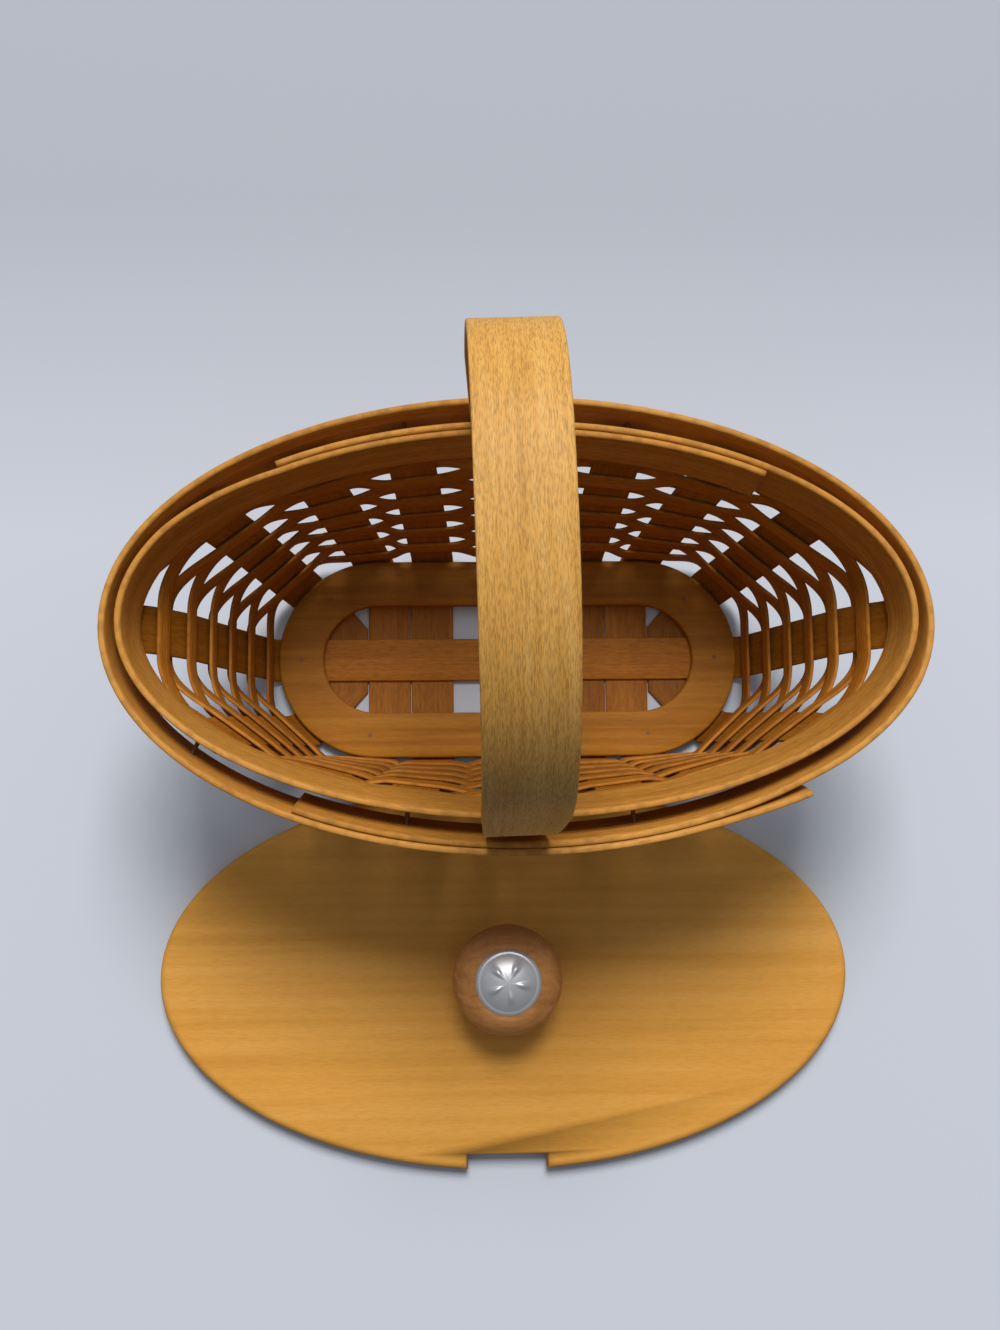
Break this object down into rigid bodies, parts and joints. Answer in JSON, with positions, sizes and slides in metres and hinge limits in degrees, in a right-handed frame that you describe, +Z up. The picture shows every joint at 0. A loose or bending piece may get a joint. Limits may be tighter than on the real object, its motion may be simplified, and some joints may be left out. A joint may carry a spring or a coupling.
{
  "type": "woven splint basket",
  "caption": "Oval woven wood-splint basket with lapped rim bands and a fixed strap handle, its loose oval wooden lid with a turned knob lying in front.",
  "frame": {"origin": "centre of the basket's underside, on the surface that it stands on", "axes": "+Z up, X along the basket's length, the handle stands across the middle in the YZ plane, the loose lid lies on the -Y side"},
  "size_m": [0.2164, 0.2185, 0.1646],
  "materials": {
    "stake_splint": "honey-stained maple splint, satin",
    "weaver_splint": "honey-stained maple splint, satin",
    "rim_band": "honey-stained bent maple strip, satin",
    "strap": "bent maple strap with fleck grain, satin",
    "ring_wood": "flat-sawn maple ring, satin",
    "lid_wood": "flat-sawn maple board, satin",
    "knob_wood": "turned maple, satin",
    "brad_metal": "dulled steel",
    "screw_metal": "plain steel",
    "tack_metal": "dulled pewter-grey metal"
  },
  "bodies": {
    "basket": {"crosswise_splint_01": "stake_splint", "crosswise_splint_02": "stake_splint", "crosswise_splint_03": "stake_splint", "crosswise_splint_04": "stake_splint", "crosswise_splint_05": "stake_splint", "crosswise_splint_06": "stake_splint", "crosswise_splint_07": "stake_splint", "lengthwise_splint": "stake_splint", "weaver_row_01": "weaver_splint", "weaver_row_02": "weaver_splint", "weaver_row_03": "weaver_splint", "weaver_row_04": "weaver_splint", "weaver_row_05": "weaver_splint", "weaver_row_06": "weaver_splint", "weaver_row_07": "weaver_splint", "weaver_row_08": "weaver_splint", "weaver_row_09": "weaver_splint", "weaver_row_10": "weaver_splint", "weaver_row_11": "weaver_splint", "weaver_row_12": "weaver_splint", "inner_rim_band": "rim_band", "outer_rim_band": "rim_band", "rim_brads": "brad_metal", "strap_handle": "strap", "base_ring": "ring_wood", "base_ring_brads": "brad_metal"},
    "lid": {"lid_board": "lid_wood", "lid_knob": "knob_wood", "knob_screw": "screw_metal", "knob_tack": "tack_metal"}
  },
  "joints": [
    {"name": "lid_draw", "type": "slide", "parent": "basket", "child": "lid", "axis": [0, -1, 0], "range_m": [0, 0.12]}
  ]
}
